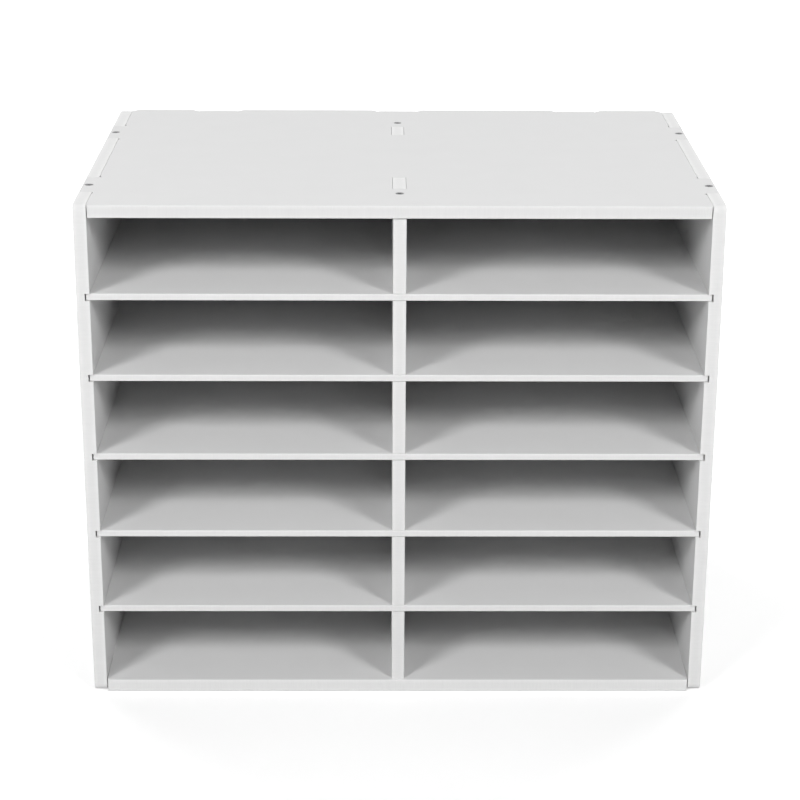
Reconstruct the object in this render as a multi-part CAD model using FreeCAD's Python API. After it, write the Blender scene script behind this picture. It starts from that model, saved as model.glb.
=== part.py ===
import FreeCAD
import Part
import os

# A twelve-compartment mail sorter made of boards that slot and screw together.
# X runs to the right, Y to the rear and Z up. The origin is at the centre of the base.
# All sizes are in millimetres.

# Overall size
overall_width = 503.0
overall_depth = 325.0
overall_height = 418.0
shelf_count = 5

# Boards
panel_thickness = 10.5
shelf_thickness = 5.5
back_thickness = 5.5
panel_arris_radius = 0.8
panel_outer_arris_radius = 1.4
side_arris_radius = 0.5
divider_arris_radius = 0.8
shelf_arris_radius = 0.6

# Side panels, set a little behind the front of the top and bottom panels
side_setback = 0.8
side_corner_radius = 6.0
dado_depth = 4.0

# Top and bottom panels: end tabs that lap over the side panels, with round reliefs in the top panel
tab_length = 44.5
front_tab_centre = 60.5
rear_tab_centre = 237.5
corner_relief_radius = 3.2
corner_relief_depth = 1.2

# Narrow slit between each end of their front edges and the side panels
front_slit_width = 0.85
front_slit_depth = 3.0

# Rear edge of the top and bottom panels: notches for the back panel's tabs
notch_count = 3
notch_floor_width = 35.0
notch_end_run = 5.0
notch_spacing = 163.0
back_tab_recess = 0.8

# Divider and shelves, set behind the front of the top and bottom panels
board_setback = 2.5

# Divider tenons through the top and bottom panels, placed from the front edge
front_tenon_length = 35.0
front_tenon_centre = 67.0
rear_tenon_length = 30.0
rear_tenon_centre = 244.5
divider_front_screw = 36.0
divider_rear_screw = 275.0

# Clearances between the boards
end_gap = 0.25
tab_clearance = 0.25
tenon_clearance = 0.25
dado_clearance = 0.25
lap_side_clearance = 0.4
lap_end_clearance = 0.5
shelf_end_clearance = 1.0
shelf_rear_clearance = 0.5
back_edge_clearance = 0.25
back_tab_clearance = 0.5

# Countersunk wood screws with a cross recess
screw_head_diameter = 6.4
screw_head_clearance = 0.4
screw_rim_height = 0.25
screw_ring_depth = 1.0
screw_neck_diameter = 3.5
screw_thread_diameter = 3.0
screw_neck_length = 9.0
screw_tip_length = 4.0
panel_screw_length = 30.0
back_screw_length = 20.0
screw_head_depth = 0.15
screw_hole_clearance = 0.1
recess_arm_length = 4.2
recess_arm_width = 0.9
recess_depth = 1.3
back_screw_rows = (1, 4)

# Places worked out from the sizes above
half_width = overall_width / 2
front = -overall_depth / 2
rear = overall_depth / 2
back_front = rear - back_thickness
side_inner = half_width - panel_thickness
panel_end = side_inner - end_gap
slit_start = side_inner - front_slit_width
slit_floor = front + front_slit_depth
under_top = overall_height - panel_thickness
side_front = front + side_setback
board_front = front + board_setback
clear_height = overall_height - 2 * panel_thickness
compartment_height = (clear_height - shelf_count * shelf_thickness) / (shelf_count + 1)
row_pitch = compartment_height + shelf_thickness
shelf_half_width = side_inner + dado_depth - shelf_end_clearance
shelf_rear = back_front - shelf_rear_clearance
lap_end = (board_front + shelf_rear) / 2
tab_centres = (front + front_tab_centre, front + rear_tab_centre)
divider_screw_places = (front + divider_front_screw, front + divider_rear_screw)
notch_centres = [(index - (notch_count - 1) / 2) * notch_spacing for index in range(notch_count)]


def box(low, high):
    """A block between two opposite corners."""
    size = [high[axis] - low[axis] for axis in range(3)]
    return Part.makeBox(size[0], size[1], size[2], FreeCAD.Vector(*low))


def extrude_outline(points, direction):
    """A straight-sided solid from a closed outline of points."""
    wire = Part.makePolygon(points + [points[0]])
    return Part.Face(wire).extrude(direction)


def round_edges(shape, radius, wanted):
    """Rounds the edges whose middle point satisfies the test."""
    chosen = [edge for edge in shape.Edges if wanted(edge.CenterOfMass)]
    return shape.makeFillet(radius, chosen)


def near(value, target):
    return abs(value - target) < 1e-4


def shelf_bottom(number):
    """Underside height of a shelf; shelf 1 is the highest."""
    return under_top - number * row_pitch


def flip_upside_down(shape):
    """Mirrors a shape about the sorter's middle height."""
    middle = FreeCAD.Vector(0, 0, overall_height / 2)
    return shape.mirror(middle, FreeCAD.Vector(0, 0, 1))


def flip_left_right(shape):
    return shape.mirror(FreeCAD.Vector(0, 0, 0), FreeCAD.Vector(1, 0, 0))


def turn_profile(profile):
    """Turns a profile of radius and height pairs about the Z axis."""
    points = [FreeCAD.Vector(radius, 0, height) for radius, height in profile]
    wire = Part.makePolygon(points + [points[0]])
    axis_point = FreeCAD.Vector(0, 0, 0)
    return Part.Face(wire).revolve(axis_point, FreeCAD.Vector(0, 0, 1), 360)


def countersunk_hole(through_length):
    """The space cut for one screw, pointing down: a ring round its rim, a cone and two bores."""
    head = screw_head_diameter / 2
    mouth = head + screw_head_clearance
    neck = screw_neck_diameter / 2 + screw_hole_clearance / 2
    pilot = screw_thread_diameter / 2 + screw_hole_clearance / 2
    cone_start = -screw_head_depth - screw_rim_height - screw_hole_clearance
    cone_end = cone_start - (head - neck)
    seat = head - (cone_start + screw_ring_depth)
    neck_end = -screw_head_depth - screw_neck_length
    bore_end = -screw_head_depth - through_length - screw_hole_clearance
    profile = [
        (0, 1),
        (mouth, 1),
        (mouth, -screw_ring_depth),
        (seat, -screw_ring_depth),
        (neck, cone_end),
        (neck, neck_end),
        (pilot, neck_end),
        (pilot, bore_end),
        (0, bore_end),
    ]
    return turn_profile(profile)


def screw(length):
    """One countersunk screw pointing down, its head just under the surface at height zero."""
    head = screw_head_diameter / 2
    neck = screw_neck_diameter / 2
    thread = screw_thread_diameter / 2
    top = -screw_head_depth
    rim = top - screw_rim_height
    profile = [
        (0, top),
        (head, top),
        (head, rim),
        (neck, rim - (head - neck)),
        (neck, top - screw_neck_length),
        (thread, top - screw_neck_length),
        (thread, top - length + screw_tip_length),
        (0, top - length),
    ]
    body = turn_profile(profile)
    arm = recess_arm_length / 2
    half = recess_arm_width / 2
    floor = top - recess_depth
    first_arm = box((-arm, -half, floor), (arm, half, 0))
    second_arm = box((-half, -arm, floor), (half, arm, 0))
    return body.cut(first_arm.fuse(second_arm))


def place_down(shape, x, y, surface):
    """Puts a screw or its hole on a surface that faces up."""
    placed = shape.copy()
    placed.translate(FreeCAD.Vector(x, y, surface))
    return placed


def place_forward(shape, x, surface, z):
    """Puts a screw or its hole on a surface that faces the rear, pointing to the front."""
    placed = shape.copy()
    placed.rotate(FreeCAD.Vector(0, 0, 0), FreeCAD.Vector(1, 0, 0), -90)
    placed.translate(FreeCAD.Vector(x, surface, z))
    return placed


def tab_screw_x():
    """The tab screws stand in the middle of the side panel's thickness."""
    return half_width - panel_thickness / 2


def back_screw_heights():
    """The back panel's screws stand at the middle of a compartment, clear of the dados."""
    return [shelf_bottom(row + 1) + shelf_thickness + compartment_height / 2 for row in back_screw_rows]


def panel_screw_spaces():
    """The holes for every screw that goes down through the top panel."""
    hole = countersunk_hole(panel_screw_length)
    spaces = []
    for side in (-1, 1):
        for y in tab_centres:
            spaces.append(place_down(hole, side * tab_screw_x(), y, overall_height))
    for y in divider_screw_places:
        spaces.append(place_down(hole, 0, y, overall_height))
    return spaces


def back_screw_spaces():
    """The holes for every screw that goes forward through the back panel."""
    hole = countersunk_hole(back_screw_length)
    spaces = []
    for x in (-tab_screw_x(), 0, tab_screw_x()):
        for z in back_screw_heights():
            spaces.append(place_forward(hole, x, rear, z))
    return spaces


def cut_all(shape, tools):
    for tool in tools:
        shape = shape.cut(tool)
    return shape


def side_profile():
    """The side panel's outline seen from the side, with round front corners."""
    plate = box((-half_width, side_front, 0), (-side_inner, back_front, overall_height))

    def is_front_corner(point):
        at_end = near(point.z, 0) or near(point.z, overall_height)
        return near(point.y, side_front) and at_end

    return round_edges(plate, side_corner_radius, is_front_corner)


def left_side_panel():
    plate = side_profile()

    def is_arris(point):
        on_face = near(point.x, -half_width) or near(point.x, -side_inner)
        return on_face and not near(point.y, back_front)

    plate = round_edges(plate, side_arris_radius, is_arris)
    for y in tab_centres:
        half = tab_length / 2 + tab_clearance
        low = (-half_width - 1, y - half, under_top)
        high = (-side_inner + 1, y + half, overall_height + 1)
        notch = box(low, high)
        plate = cut_all(plate, [notch, flip_upside_down(notch)])
    for number in range(1, shelf_count + 1):
        bottom = shelf_bottom(number) - dado_clearance
        top = shelf_bottom(number) + shelf_thickness + dado_clearance
        low = (-side_inner - dado_depth, front - 1, bottom)
        high = (-side_inner + 1, back_front + 1, top)
        plate = plate.cut(box(low, high))
    down_holes = panel_screw_spaces()
    plate = cut_all(plate, down_holes + [flip_upside_down(hole) for hole in down_holes])
    return cut_all(plate, back_screw_spaces())


def panel_outline():
    """Half of the top panel's outline, from the middle of the front to the middle of the rear."""
    points = [(0, front), (slit_start, front), (slit_start, slit_floor), (panel_end, slit_floor)]
    for y in tab_centres:
        start = y - tab_length / 2
        end = y + tab_length / 2
        points += [(panel_end, start), (half_width, start), (half_width, end), (panel_end, end)]
    points += [(panel_end, back_front), (panel_end - notch_end_run, rear), (0, rear)]
    return points


def end_panel():
    """The top panel before its corner reliefs, or the bottom panel upside down."""
    right_half = panel_outline()
    left_half = [(-x, y) for x, y in reversed(right_half[1:-1])]
    points = [FreeCAD.Vector(x, y, under_top) for x, y in right_half + left_half]
    plate = extrude_outline(points, FreeCAD.Vector(0, 0, panel_thickness))

    def is_outer_arris(point):
        return near(point.y, front) and near(point.z, overall_height)

    def is_inner_arris(point):
        return near(point.y, front) and near(point.z, under_top)

    def is_tab_arris(point):
        return near(abs(point.x), half_width) and near(point.z, overall_height)

    plate = round_edges(plate, panel_outer_arris_radius, is_outer_arris)
    plate = round_edges(plate, panel_arris_radius, is_inner_arris)
    plate = round_edges(plate, panel_arris_radius, is_tab_arris)
    for x in notch_centres:
        inner = notch_floor_width / 2
        outer = inner + notch_end_run
        corners = [
            (x - inner, back_front),
            (x + inner, back_front),
            (x + outer, rear),
            (x + outer, rear + 1),
            (x - outer, rear + 1),
            (x - outer, rear),
        ]
        points = [FreeCAD.Vector(px, py, under_top - 1) for px, py in corners]
        plate = plate.cut(extrude_outline(points, FreeCAD.Vector(0, 0, panel_thickness + 2)))
    for tenon in divider_tenons(tenon_clearance):
        plate = plate.cut(tenon)
    return cut_all(plate, panel_screw_spaces())


def corner_reliefs():
    """The shallow round cuts in the top panel's ends, beside the roots of its tabs."""
    x = panel_end - corner_relief_depth + corner_relief_radius
    reliefs = []
    for side in (-1, 1):
        for y in tab_centres:
            for end in (-1, 1):
                beside_tab = y + end * (tab_length / 2 + corner_relief_radius)
                centre = FreeCAD.Vector(side * x, beside_tab, under_top - 1)
                reliefs.append(Part.makeCylinder(corner_relief_radius, panel_thickness + 2, centre))
    return reliefs


def divider_tenons(clearance):
    """The divider's upper tenons, or with a clearance the slots that they pass through."""
    half = panel_thickness / 2 + clearance
    tenons = []
    for centre, length in (
        (front_tenon_centre, front_tenon_length),
        (rear_tenon_centre, rear_tenon_length),
    ):
        start = front + centre - length / 2 - clearance
        end = start + length + 2 * clearance
        tenons.append(box((-half, start, under_top), (half, end, overall_height)))
    return tenons


def centre_divider():
    """The upright board between the two columns, slotted from the front for each shelf."""
    half = panel_thickness / 2
    plate = box((-half, board_front, panel_thickness), (half, back_front, under_top))

    def is_arris(point):
        return near(point.y, board_front) and near(abs(point.x), half)

    plate = round_edges(plate, divider_arris_radius, is_arris)
    for tenon in divider_tenons(0):
        plate = plate.fuse(tenon).fuse(flip_upside_down(tenon))
    plate = plate.removeSplitter()
    for number in range(1, shelf_count + 1):
        bottom = shelf_bottom(number) - dado_clearance
        top = shelf_bottom(number) + shelf_thickness + dado_clearance
        low = (-half - 1, board_front - 1, bottom)
        high = (half + 1, lap_end + lap_end_clearance, top)
        plate = plate.cut(box(low, high))
    down_holes = panel_screw_spaces()
    plate = cut_all(plate, down_holes + [flip_upside_down(hole) for hole in down_holes])
    return cut_all(plate, back_screw_spaces())


def back_panel():
    """The thin board behind the compartments, with tabs into the top and bottom panels."""
    bottom = panel_thickness + back_edge_clearance
    top = under_top - back_edge_clearance
    plate = box((-half_width, back_front, bottom), (half_width, rear, top))
    for x in notch_centres:
        half = notch_floor_width / 2 - back_tab_clearance
        low = (x - half, back_front, top)
        high = (x + half, rear, overall_height - back_tab_recess)
        tab = box(low, high)
        plate = plate.fuse(tab).fuse(flip_upside_down(tab))
    plate = plate.removeSplitter()
    return cut_all(plate, back_screw_spaces())


def shelf(number):
    """A full-width shelf, slotted from the rear so that it straddles the divider."""
    bottom = shelf_bottom(number)
    top = bottom + shelf_thickness
    low = (-shelf_half_width, board_front, bottom)
    plate = box(low, (shelf_half_width, shelf_rear, top))

    def is_arris(point):
        return near(point.y, board_front) and (near(point.z, bottom) or near(point.z, top))

    plate = round_edges(plate, shelf_arris_radius, is_arris)
    half = panel_thickness / 2 + lap_side_clearance
    slot = box((-half, lap_end, bottom - 1), (half, shelf_rear + 1, top + 1))
    return plate.cut(slot)


def screws_down(x, places):
    """Screws that stand in the top panel at one distance from the middle."""
    one = screw(panel_screw_length)
    return Part.makeCompound([place_down(one, x, y, overall_height) for y in places])


def screws_forward(x):
    """Screws that hold the back panel to one upright board."""
    one = screw(back_screw_length)
    return Part.makeCompound([place_forward(one, x, rear, z) for z in back_screw_heights()])


def all_pieces():
    left = left_side_panel()
    panel = end_panel()
    pieces = {
        "left_side_panel": left,
        "right_side_panel": flip_left_right(left),
        "top_panel": cut_all(panel, corner_reliefs()),
        "bottom_panel": flip_upside_down(panel),
        "centre_divider": centre_divider(),
        "back_panel": back_panel(),
    }
    for number in range(1, shelf_count + 1):
        pieces["shelf_%d" % number] = shelf(number)
    screw_lines = {
        "left": (-tab_screw_x(), tab_centres),
        "right": (tab_screw_x(), tab_centres),
        "divider": (0, divider_screw_places),
    }
    for place, (x, places) in screw_lines.items():
        upper = screws_down(x, places)
        pieces["top_%s_screws" % place] = upper
        pieces["bottom_%s_screws" % place] = flip_upside_down(upper)
        pieces["back_%s_screws" % place] = screws_forward(x)
    return pieces


os.makedirs("parts", exist_ok=True)
for node, shape in all_pieces().items():
    print(node, "solids", len(shape.Solids), "valid", shape.isValid(), "volume", round(shape.Volume))
    shape.exportStep("parts/%s.step" % node)
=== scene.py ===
import math
import random

import bpy
from mathutils import Matrix, Vector


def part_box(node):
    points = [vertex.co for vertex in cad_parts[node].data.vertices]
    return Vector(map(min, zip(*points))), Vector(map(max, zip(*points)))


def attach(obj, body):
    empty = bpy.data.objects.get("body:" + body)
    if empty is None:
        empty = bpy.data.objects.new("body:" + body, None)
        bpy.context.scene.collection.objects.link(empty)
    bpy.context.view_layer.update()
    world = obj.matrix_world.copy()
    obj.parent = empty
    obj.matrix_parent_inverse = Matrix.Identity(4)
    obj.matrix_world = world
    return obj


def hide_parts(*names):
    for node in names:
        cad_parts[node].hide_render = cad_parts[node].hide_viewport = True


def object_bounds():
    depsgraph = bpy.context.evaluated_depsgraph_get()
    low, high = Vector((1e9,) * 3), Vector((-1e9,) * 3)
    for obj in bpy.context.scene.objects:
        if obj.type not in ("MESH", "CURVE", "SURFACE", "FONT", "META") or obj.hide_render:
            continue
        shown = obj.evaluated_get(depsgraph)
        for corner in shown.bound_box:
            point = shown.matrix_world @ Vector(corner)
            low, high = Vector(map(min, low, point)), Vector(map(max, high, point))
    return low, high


# A twelve-compartment mail sorter of white foamed boards, in metres.
# X runs to the right, Y to the rear and Z up.

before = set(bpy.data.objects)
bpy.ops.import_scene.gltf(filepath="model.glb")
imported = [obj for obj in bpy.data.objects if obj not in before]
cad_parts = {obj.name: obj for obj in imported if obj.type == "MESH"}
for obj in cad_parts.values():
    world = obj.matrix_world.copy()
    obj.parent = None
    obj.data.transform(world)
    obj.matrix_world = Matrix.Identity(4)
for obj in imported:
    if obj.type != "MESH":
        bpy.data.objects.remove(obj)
cad_low, cad_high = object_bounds()

MM = 0.001
QUARTER_TURN = math.pi / 2
SQUARE_CORNERS = ((-1, -1), (1, -1), (1, 1), (-1, 1))

# Camera: sensor and lens in millimetres, shift as a share of the frame, angles in degrees
SENSOR_WIDTH = 36.0
CAMERA_LENS = 94.0
CAMERA_SHIFT_UP = -0.10
CAMERA_PLACE = (-0.0150, -1.7080, 0.8480)
CAMERA_PITCH = 18.68
CAMERA_YAW = -0.57
CAMERA_ROLL = -0.27
CLIP_NEAR = 0.01
CLIP_FAR = 100.0

# Studio light: name, place, width, height and power in watts of each soft box
AIM_POINT = (0.0, 0.0, 0.22)
SOFT_BOXES = (
    ("key_left", (-1.53, -2.04, 1.74), 0.72, 0.80, 39.2),
    ("key_right", (1.53, -2.04, 1.74), 0.72, 0.80, 35.8),
    ("rear_left", (-1.60, 1.90, 1.00), 1.20, 1.20, 28.0),
    ("rear_right", (1.60, 1.90, 1.00), 1.20, 1.20, 28.0),
    ("overhead_front", (0.0, -0.55, 2.60), 1.60, 1.60, 6.4),
    ("overhead_rear", (0.0, 0.75, 2.40), 1.20, 1.20, 12.8),
)
WORLD_STRENGTH = 0.03

# Floor, a hair below the sorter: its glow grows with the distance from the sorter
FLOOR_HALF_SIZE = 12.0
FLOOR_DROP = 0.2 * MM
FLOOR_COLOUR = (0.80, 0.80, 0.80, 1.0)
FLOOR_GLOW_NEAR = 0.37
FLOOR_GLOW_FAR = 1.0
FLOOR_NEAR = 0.8
FLOOR_FAR = 2.4

# Board: the skin of its faces and the whiter foam of its cut edges
SKIN_COLOUR = (0.745, 0.745, 0.745, 1.0)
CUT_COLOUR = (0.840, 0.840, 0.838, 1.0)
SKIN_ROUGHNESS = 0.65
CUT_ROUGHNESS = 0.72
ROUGHNESS_SPREAD = 0.06
BOARD_SPECULAR = 0.1

# Between these parts of the surface normal along the thin direction, cut edge turns into skin
SKIN_FACING_LOW = 0.55
SKIN_FACING_HIGH = 0.93

# Foam core: darkest within the inner distance from the middle of the board's thickness,
# and not darkened beyond the outer one, both as shares of the whole thickness
BOARD_MIDDLE = 0.5
CORE_DARKENING = 0.05
CORE_INNER = 0.10
CORE_OUTER = 0.46

# Patterns of the board: scale and detail of the noise, spread of the tone, height of the bumps
MOTTLE_SCALE = 38.0
MOTTLE_DETAIL = 4.0
MOTTLE_SPREAD = 0.014
SKIN_GRAIN_SCALE = 1400.0
SKIN_GRAIN_DETAIL = 2.0
SKIN_GRAIN_HEIGHT = 0.03 * MM
CUT_MARK_SCALE = 900.0
CUT_MARK_DETAIL = 2.0
CUT_MARK_STRETCH = 0.08
CUT_MARK_SPREAD = 0.03
CUT_MARK_HEIGHT = 0.06 * MM
FOAM_CELL_SCALE = 2600.0
FOAM_CELL_WEIGHT = 0.6

# Each board's thin direction, and how light its skin and its cut edges are painted: the shelves and
# the bottom panel lighter as painted light, the side panels, divider and back panel darker and the
# top panel's cut edges darker as painted shade
BOARD_AXES_AND_PAINTED_LIGHT = {
    "left_side_panel": ("X", 0.91, 1.0),
    "right_side_panel": ("X", 0.91, 1.0),
    "centre_divider": ("X", 0.91, 1.0),
    "back_panel": ("Y", 0.93, 1.0),
    "top_panel": ("Z", 1.0, 0.965),
    "bottom_panel": ("Z", 1.03, 1.02),
}
SHELF_AXIS_AND_PAINTED_LIGHT = ("Z", 1.05, 1.0)

# Screws, as in the solids, with threads and rounded rims
PANEL_SCREW_LENGTH = 30.0 * MM
BACK_SCREW_LENGTH = 20.0 * MM
SCREW_HEAD_RADIUS = 3.2 * MM
SCREW_RIM_HEIGHT = 0.25 * MM
SCREW_RIM_ROUND = 0.12 * MM
SCREW_NECK_RADIUS = 1.75 * MM
SCREW_NECK_LENGTH = 9.0 * MM
SCREW_CREST_RADIUS = 1.5 * MM
SCREW_ROOT_RADIUS = 1.1 * MM
SCREW_TIP_LENGTH = 4.0 * MM
THREAD_PITCH = 1.35 * MM
THREAD_RIDGE_SHARE = 0.5
THREAD_STEPS = 6
SCREW_SEGMENTS = 32
SCREW_SMOOTH_ANGLE = 30.0
SCREW_TURN_SEED = 7

# Cross recess of a screw's head
RECESS_ARM_LENGTH = 4.2 * MM
RECESS_ARM_WIDTH = 0.9 * MM
RECESS_DEPTH = 1.3 * MM
RECESS_TAPER = 0.45
CUTTER_OVERHANG = 1.0 * MM

# Plated metal of the screws, its colour darkened as a painted dark reflection and shade
SCREW_PAINTED_DARK_COLOUR = (0.17, 0.17, 0.175, 1.0)
SCREW_ROUGHNESS = 0.32
SCREW_ROUGHNESS_SPREAD = 0.12
DULLNESS_SCALE = 900.0
DULLNESS_DETAIL = 3.0
DULLNESS_SPREAD = 0.10
SCRATCH_SCALE = 5200.0
SCRATCH_DETAIL = 2.0
SCRATCH_HEIGHT = 0.01 * MM

# Sockets of a mix node that mixes colours
MIX_FACTOR = 0
MIX_FIRST = 6
MIX_SECOND = 7
MIX_RESULT = 2


class Nodes:
    """A short way to write the node tree of a material or a world."""

    def __init__(self, owner):
        owner.use_nodes = True
        self.tree = owner.node_tree
        self.tree.nodes.clear()

    def add(self, kind, settings=None, **inputs):
        """A new node; an input's name has underscores where the socket's has spaces."""
        node = self.tree.nodes.new(kind)
        for name, value in (settings or {}).items():
            setattr(node, name, value)
        for name, value in inputs.items():
            self.feed(node.inputs[name.replace("_", " ")], value)
        return node

    def feed(self, socket, value):
        """Links another node's output to the socket, or sets the socket's own value."""
        if isinstance(value, bpy.types.NodeSocket):
            self.tree.links.new(value, socket)
        else:
            socket.default_value = value

    def math(self, operation, *values):
        node = self.tree.nodes.new("ShaderNodeMath")
        node.operation = operation
        for index, value in enumerate(values):
            self.feed(node.inputs[index], value)
        return node.outputs[0]

    def remap(self, value, from_low, from_high, to_low, to_high, curve="LINEAR"):
        """Carries one range of values over to another and stops at its ends."""
        node = self.add("ShaderNodeMapRange", {"interpolation_type": curve}, Value=value)
        node.inputs["From Min"].default_value = from_low
        node.inputs["From Max"].default_value = from_high
        node.inputs["To Min"].default_value = to_low
        node.inputs["To Max"].default_value = to_high
        return node.outputs[0]

    def spread(self, value, centre, half_range):
        """Turns a 0 to 1 pattern into one around a centre value."""
        return self.remap(value, 0.0, 1.0, centre - half_range, centre + half_range)

    def seen_ray(self):
        """One for rays that show the studio itself: straight, mirrored or through glass."""
        ray = self.add("ShaderNodeLightPath")
        seen = self.math("MAXIMUM", ray.outputs["Is Camera Ray"], ray.outputs["Is Glossy Ray"])
        return self.math("MAXIMUM", seen, ray.outputs["Is Transmission Ray"])

    def mix_colour(self, factor, first, second, blend="MIX"):
        node = self.add("ShaderNodeMix", {"data_type": "RGBA", "blend_type": blend})
        self.feed(node.inputs[MIX_FACTOR], factor)
        self.feed(node.inputs[MIX_FIRST], first)
        self.feed(node.inputs[MIX_SECOND], second)
        return node.outputs[MIX_RESULT]

    def noise(self, vector, scale, detail):
        node = self.add("ShaderNodeTexNoise", Vector=vector, Scale=scale, Detail=detail)
        return node.outputs[0]

    def stretch(self, vector, factors):
        node = self.add("ShaderNodeVectorMath", {"operation": "MULTIPLY"})
        self.feed(node.inputs[0], vector)
        node.inputs[1].default_value = factors
        return node.outputs[0]

    def bump(self, height, distance, normal=None):
        """Bumps of a given height, on top of another node's bumps if there are any."""
        node = self.add("ShaderNodeBump", Height=height, Distance=distance)
        if normal is not None:
            self.feed(node.inputs["Normal"], normal)
        return node.outputs[0]


def skin_share(nodes, place, axis):
    """One on the board's two faces and zero on its cut edges."""
    normal = nodes.add("ShaderNodeSeparateXYZ", Vector=place.outputs["Normal"])
    facing = nodes.math("ABSOLUTE", normal.outputs[axis])
    return nodes.remap(facing, SKIN_FACING_LOW, SKIN_FACING_HIGH, 0.0, 1.0, "SMOOTHSTEP")


def core_tone(nodes, place, axis):
    """Darkens a cut edge a little towards the middle of the board's thickness."""
    across = nodes.add("ShaderNodeSeparateXYZ", Vector=place.outputs["Generated"])
    off_middle = nodes.math("SUBTRACT", across.outputs[axis], BOARD_MIDDLE)
    off_middle = nodes.math("ABSOLUTE", off_middle)
    darkest = 1.0 - CORE_DARKENING
    return nodes.remap(off_middle, CORE_INNER, CORE_OUTER, darkest, 1.0, "SMOOTHSTEP")


def cut_marks(nodes, where, axis):
    """Marks of the saw that run along the board's thin direction."""
    factors = [1.0, 1.0, 1.0]
    factors["XYZ".index(axis)] = CUT_MARK_STRETCH
    return nodes.noise(nodes.stretch(where, factors), CUT_MARK_SCALE, CUT_MARK_DETAIL)


def foam_cells(nodes, where):
    """Small cells of the foam, with less weight than the marks of the saw."""
    cells = nodes.add("ShaderNodeTexVoronoi", {"feature": "F1"}, Vector=where, Scale=FOAM_CELL_SCALE)
    return nodes.math("MULTIPLY", cells.outputs["Distance"], FOAM_CELL_WEIGHT)


def board_material(name, axis, skin_painted_light, cut_painted_light):
    """White foamed board whose thin direction is the given axis, its skin and cut edges made lighter
    or darker by the given levels of painted light and shade.
    """
    material = bpy.data.materials.new(name)
    nodes = Nodes(material)
    place = nodes.add("ShaderNodeTexCoord")
    where = place.outputs["Object"]
    skin = skin_share(nodes, place, axis)
    cut = nodes.math("SUBTRACT", 1.0, skin)
    mottle = nodes.noise(where, MOTTLE_SCALE, MOTTLE_DETAIL)
    grain = nodes.noise(where, SKIN_GRAIN_SCALE, SKIN_GRAIN_DETAIL)
    marks = cut_marks(nodes, where, axis)

    # The levels paint light or shade into the tone: a lighter board stands in for painted light, a
    # darker one for painted shade
    skin_mottle_and_painted_light = nodes.spread(mottle, skin_painted_light, MOTTLE_SPREAD)
    cut_marks_and_painted_light = nodes.spread(marks, cut_painted_light, CUT_MARK_SPREAD)
    cut_marks_and_painted_light = nodes.math("MULTIPLY", cut_marks_and_painted_light, core_tone(nodes, place, axis))
    skin_colour = nodes.mix_colour(1.0, SKIN_COLOUR, skin_mottle_and_painted_light, "MULTIPLY")
    cut_colour = nodes.mix_colour(1.0, CUT_COLOUR, cut_marks_and_painted_light, "MULTIPLY")
    colour = nodes.mix_colour(skin, cut_colour, skin_colour)

    skin_rough = nodes.spread(grain, SKIN_ROUGHNESS, ROUGHNESS_SPREAD)
    cut_rough = nodes.spread(marks, CUT_ROUGHNESS, ROUGHNESS_SPREAD)
    skin_part = nodes.math("MULTIPLY", skin_rough, skin)
    cut_part = nodes.math("MULTIPLY", cut_rough, cut)
    rough = nodes.math("ADD", skin_part, cut_part)

    pits = nodes.math("ADD", marks, foam_cells(nodes, where))
    cut_bump = nodes.bump(nodes.math("MULTIPLY", pits, cut), CUT_MARK_HEIGHT)
    normal = nodes.bump(nodes.math("MULTIPLY", grain, skin), SKIN_GRAIN_HEIGHT, cut_bump)

    shader = nodes.add("ShaderNodeBsdfPrincipled", Base_Color=colour, Roughness=rough, Normal=normal)
    shader.inputs["Specular IOR Level"].default_value = BOARD_SPECULAR
    nodes.add("ShaderNodeOutputMaterial", Surface=shader.outputs[0])
    return material


def screw_material():
    """Zinc-plated steel, darkened as a painted dark reflection and shade, with fine scratches and a
    little dullness.
    """
    material = bpy.data.materials.new("plated_screw")
    nodes = Nodes(material)
    where = nodes.add("ShaderNodeTexCoord").outputs["Object"]
    dull = nodes.noise(where, DULLNESS_SCALE, DULLNESS_DETAIL)
    scratches = nodes.noise(where, SCRATCH_SCALE, SCRATCH_DETAIL)
    tone = nodes.spread(dull, 1.0, DULLNESS_SPREAD)
    # The dark base colour paints in the dark reflections and shade of the heads
    colour = nodes.mix_colour(1.0, SCREW_PAINTED_DARK_COLOUR, tone, "MULTIPLY")
    rough = nodes.spread(dull, SCREW_ROUGHNESS, SCREW_ROUGHNESS_SPREAD)
    normal = nodes.bump(scratches, SCRATCH_HEIGHT)
    shader = nodes.add("ShaderNodeBsdfPrincipled", Base_Color=colour, Roughness=rough, Normal=normal)
    shader.inputs["Metallic"].default_value = 1.0
    nodes.add("ShaderNodeOutputMaterial", Surface=shader.outputs[0])
    return material


def mesh_object(name, vertices, faces):
    mesh = bpy.data.meshes.new(name)
    mesh.from_pydata(vertices, [], faces)
    mesh.update()
    piece = bpy.data.objects.new(name, mesh)
    bpy.context.scene.collection.objects.link(piece)
    return piece


def shade_smooth(mesh, angle):
    """Smooth shading, with sharp edges where faces meet at more than the angle in degrees."""
    mesh.shade_smooth()
    mesh.set_sharp_from_angle(angle=math.radians(angle))


def screw_rings(length):
    """Height, radius and whether threaded, of every ring of vertices from the head down."""
    cone_height = SCREW_HEAD_RADIUS - SCREW_NECK_RADIUS
    rings = [
        (0.0, SCREW_HEAD_RADIUS - SCREW_RIM_ROUND, False),
        (-SCREW_RIM_ROUND, SCREW_HEAD_RADIUS, False),
        (-SCREW_RIM_HEIGHT, SCREW_HEAD_RADIUS, False),
        (-SCREW_RIM_HEIGHT - cone_height, SCREW_NECK_RADIUS, False),
        (-SCREW_NECK_LENGTH, SCREW_NECK_RADIUS, False),
    ]
    step = THREAD_PITCH / THREAD_STEPS
    count = int((length - SCREW_NECK_LENGTH) / step)
    for index in range(1, count):
        rings.append((-SCREW_NECK_LENGTH - index * step, SCREW_CREST_RADIUS, True))
    return rings


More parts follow.
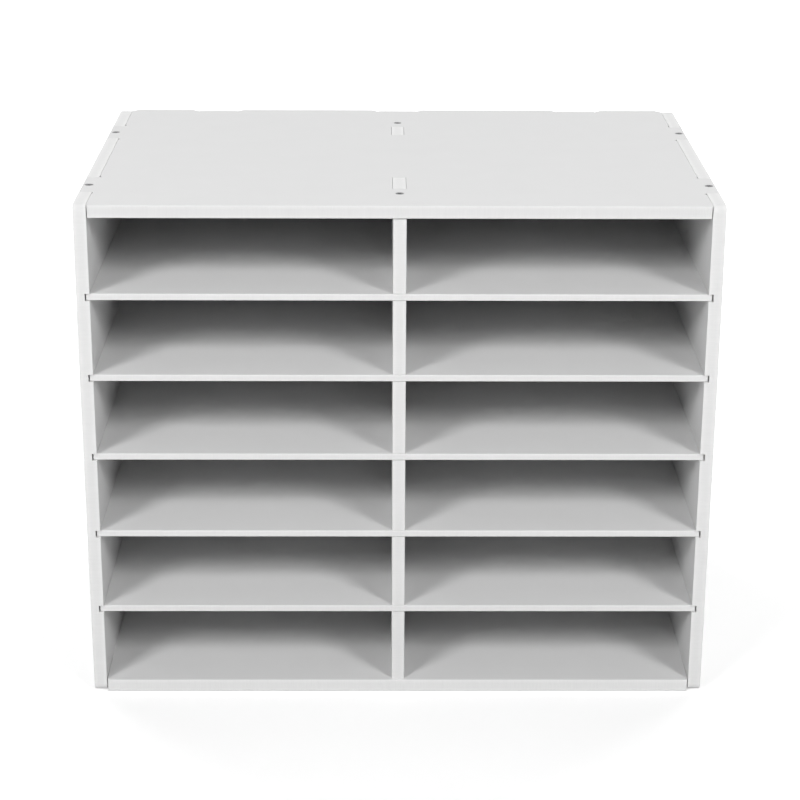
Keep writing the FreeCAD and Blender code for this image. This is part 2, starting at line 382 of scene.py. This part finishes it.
def thread_radius(angle, height, length):
    """Radius of the threaded shank: a sharp ridge that winds down and fades into the tip."""
    turn = (-height / THREAD_PITCH - angle / (2 * math.pi)) % 1.0
    off_crest = 2 * abs(turn - 0.5)
    ridge = max(0.0, 1.0 - off_crest / THREAD_RIDGE_SHARE)
    taper = min(1.0, (length + height) / SCREW_TIP_LENGTH)
    radius = SCREW_ROOT_RADIUS + (SCREW_CREST_RADIUS - SCREW_ROOT_RADIUS) * ridge
    return radius * taper


def screw_mesh(name, length):
    """One countersunk screw, its head at height zero and its tip down."""
    vertices = []
    for height, radius, threaded in screw_rings(length):
        for index in range(SCREW_SEGMENTS):
            angle = 2 * math.pi * index / SCREW_SEGMENTS
            reach = thread_radius(angle, height, length) if threaded else radius
            vertices.append((reach * math.cos(angle), reach * math.sin(angle), height))
    ring_count = len(vertices) // SCREW_SEGMENTS
    faces = [list(range(SCREW_SEGMENTS))]
    for ring in range(ring_count - 1):
        high = ring * SCREW_SEGMENTS
        low = high + SCREW_SEGMENTS
        for index in range(SCREW_SEGMENTS):
            after = (index + 1) % SCREW_SEGMENTS
            faces.append([high + after, high + index, low + index, low + after])
    tip = len(vertices)
    vertices.append((0.0, 0.0, -length))
    last = (ring_count - 1) * SCREW_SEGMENTS
    for index in range(SCREW_SEGMENTS):
        faces.append([last + (index + 1) % SCREW_SEGMENTS, last + index, tip])
    return mesh_object(name, vertices, faces)


def recess_arm(name, turned):
    """Cutting shape for one arm of the cross recess: a bar that narrows towards its floor."""
    widening = 1 + (1 - RECESS_TAPER) * CUTTER_OVERHANG / RECESS_DEPTH
    vertices = []
    for height, scale in ((CUTTER_OVERHANG, widening), (-RECESS_DEPTH, RECESS_TAPER)):
        # The arm's width narrows half as fast as its length
        for along, across in SQUARE_CORNERS:
            x = along * RECESS_ARM_LENGTH / 2 * scale
            y = across * RECESS_ARM_WIDTH / 2 * (scale + 1) / 2
            vertices.append((y, x, height) if turned else (x, y, height))
    faces = [[0, 1, 2, 3], [7, 6, 5, 4]]
    for index in range(4):
        after = (index + 1) % 4
        faces.append([index, index + 4, after + 4, after])
    if turned:
        faces = [face[::-1] for face in faces]
    return mesh_object(name, vertices, faces)


def cut_recess(piece):
    """Cuts the cross recess into the screw's head and drops the cutting shapes."""
    for name, turned in (("recess_long", False), ("recess_cross", True)):
        cutter = recess_arm(name, turned)
        modifier = piece.modifiers.new(name, "BOOLEAN")
        modifier.operation = "DIFFERENCE"
        modifier.solver = "EXACT"
        modifier.object = cutter
        evaluated = piece.evaluated_get(bpy.context.evaluated_depsgraph_get())
        mesh = bpy.data.meshes.new_from_object(evaluated)
        piece.modifiers.clear()
        piece.data = mesh
        bpy.data.objects.remove(cutter)


def screw_template(name, length):
    """Mesh of a finished screw, to be copied to every place where one is."""
    piece = screw_mesh(name + "_screw_template", length)
    bpy.context.view_layer.update()
    cut_recess(piece)
    mesh = piece.data
    bpy.data.objects.remove(piece)
    return mesh


def screw_centres(side, low, high):
    """Where the two heads of a screw node are, from the node's box."""
    x = (low.x + high.x) / 2
    if side == "back":
        heights = (low.z + SCREW_HEAD_RADIUS, high.z - SCREW_HEAD_RADIUS)
        return [Vector((x, high.y, z)) for z in heights]
    z = high.z if side == "top" else low.z
    depths = (low.y + SCREW_HEAD_RADIUS, high.y - SCREW_HEAD_RADIUS)
    return [Vector((x, y, z)) for y in depths]


def screw_pair(node, template, material, placements):
    """One piece with both screws of a node, in place of the node's plain solids."""
    vertices = []
    faces = []
    for matrix in placements:
        start = len(vertices)
        vertices += [matrix @ vertex.co for vertex in template.vertices]
        faces += [[start + index for index in face.vertices] for face in template.polygons]
    piece = mesh_object(node + "_detailed", vertices, faces)
    piece.data.materials.append(material)
    shade_smooth(piece.data, SCREW_SMOOTH_ANGLE)
    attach(piece, "carcass")
    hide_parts(node)


def add_screws(material, chance):
    """Every screw of the sorter, each turned by its own angle."""
    panel_screw = screw_template("panel", PANEL_SCREW_LENGTH)
    back_screw = screw_template("back", BACK_SCREW_LENGTH)
    kinds = {
        "top": (panel_screw, Matrix.Identity(4)),
        "bottom": (panel_screw, Matrix.Rotation(2 * QUARTER_TURN, 4, "X")),
        "back": (back_screw, Matrix.Rotation(-QUARTER_TURN, 4, "X")),
    }
    for node in sorted(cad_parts):
        if not node.endswith("_screws"):
            continue
        side = node.split("_")[0]
        template, facing = kinds[side]
        placements = []
        for centre in screw_centres(side, *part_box(node)):
            spin = Matrix.Rotation(chance.uniform(0, QUARTER_TURN), 4, "Z")
            placements.append(Matrix.Translation(centre) @ facing @ spin)
        screw_pair(node, template, material, placements)


def dress_boards():
    """Gives every board the material of its own thin direction and its painted light and shade
    levels.
    """
    materials = {}
    for node, piece in sorted(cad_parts.items()):
        if node.endswith("_screws"):
            continue
        axis, skin_painted_light, cut_painted_light = BOARD_AXES_AND_PAINTED_LIGHT.get(node, SHELF_AXIS_AND_PAINTED_LIGHT)
        # The name carries both painted light and shade levels in thousandths
        name = "board_%s_%d_%d" % (axis.lower(), round(1000 * skin_painted_light), round(1000 * cut_painted_light))
        if name not in materials:
            materials[name] = board_material(name, axis, skin_painted_light, cut_painted_light)
        piece.data.materials.clear()
        piece.data.materials.append(materials[name])


def floor_material():
    """Matt floor with a glow that only shows where the floor is seen, not where it lights."""
    material = bpy.data.materials.new("studio_floor")
    nodes = Nodes(material)
    place = nodes.add("ShaderNodeTexCoord")
    distance = nodes.add("ShaderNodeVectorMath", {"operation": "LENGTH"})
    nodes.feed(distance.inputs[0], place.outputs["Object"])
    away = distance.outputs["Value"]
    level = nodes.remap(away, FLOOR_NEAR, FLOOR_FAR, FLOOR_GLOW_NEAR, FLOOR_GLOW_FAR)
    glow = nodes.add("ShaderNodeEmission", Strength=nodes.math("MULTIPLY", nodes.seen_ray(), level))
    matt = nodes.add("ShaderNodeBsdfDiffuse", Color=FLOOR_COLOUR)
    both = nodes.add("ShaderNodeAddShader")
    nodes.feed(both.inputs[0], glow.outputs[0])
    nodes.feed(both.inputs[1], matt.outputs[0])
    nodes.add("ShaderNodeOutputMaterial", Surface=both.outputs[0])
    return material


def add_floor():
    """A pale floor that shows white to the camera but keeps the sorter's shadow."""
    height = cad_low[2] - FLOOR_DROP
    corners = [(x * FLOOR_HALF_SIZE, y * FLOOR_HALF_SIZE, height) for x, y in SQUARE_CORNERS]
    floor = mesh_object("studio_floor", corners, [[0, 1, 2, 3]])
    floor.data.materials.append(floor_material())


def add_world():
    """Dim white light from all round that shows as a white backdrop."""
    world = bpy.data.worlds.new("studio")
    nodes = Nodes(world)
    strength = nodes.remap(nodes.seen_ray(), 0.0, 1.0, WORLD_STRENGTH, 1.0)
    sky = nodes.add("ShaderNodeBackground", Strength=strength)
    sky.inputs["Color"].default_value = (1.0, 1.0, 1.0, 1.0)
    nodes.add("ShaderNodeOutputWorld", Surface=sky.outputs[0])
    bpy.context.scene.world = world


def add_soft_boxes():
    """The soft boxes, all aimed at one point in the middle of the sorter."""
    for name, place, width, height, power in SOFT_BOXES:
        light = bpy.data.lights.new(name, "AREA")
        light.shape = "RECTANGLE"
        light.size = width
        light.size_y = height
        light.energy = power
        lamp = bpy.data.objects.new(name, light)
        lamp.location = place
        aim = Vector(AIM_POINT) - Vector(place)
        lamp.rotation_euler = aim.to_track_quat("-Z", "Y").to_euler()
        bpy.context.scene.collection.objects.link(lamp)


def add_camera():
    """The photograph's camera: from the front, a little above the sorter's top."""
    data = bpy.data.cameras.new("camera")
    data.sensor_fit = "HORIZONTAL"
    data.sensor_width = SENSOR_WIDTH
    data.lens = CAMERA_LENS
    data.shift_y = CAMERA_SHIFT_UP
    data.clip_start = CLIP_NEAR
    data.clip_end = CLIP_FAR
    camera = bpy.data.objects.new("camera", data)
    yaw = Matrix.Rotation(math.radians(CAMERA_YAW), 4, "Z")
    pitch = Matrix.Rotation(math.radians(90.0 - CAMERA_PITCH), 4, "X")
    roll = Matrix.Rotation(math.radians(-CAMERA_ROLL), 4, "Z")
    camera.matrix_world = Matrix.Translation(CAMERA_PLACE) @ yaw @ pitch @ roll
    bpy.context.scene.collection.objects.link(camera)
    bpy.context.scene.camera = camera


add_camera()
add_soft_boxes()
add_world()
add_floor()
dress_boards()
add_screws(screw_material(), random.Random(SCREW_TURN_SEED))

bpy.context.scene.view_settings.view_transform = "Standard"
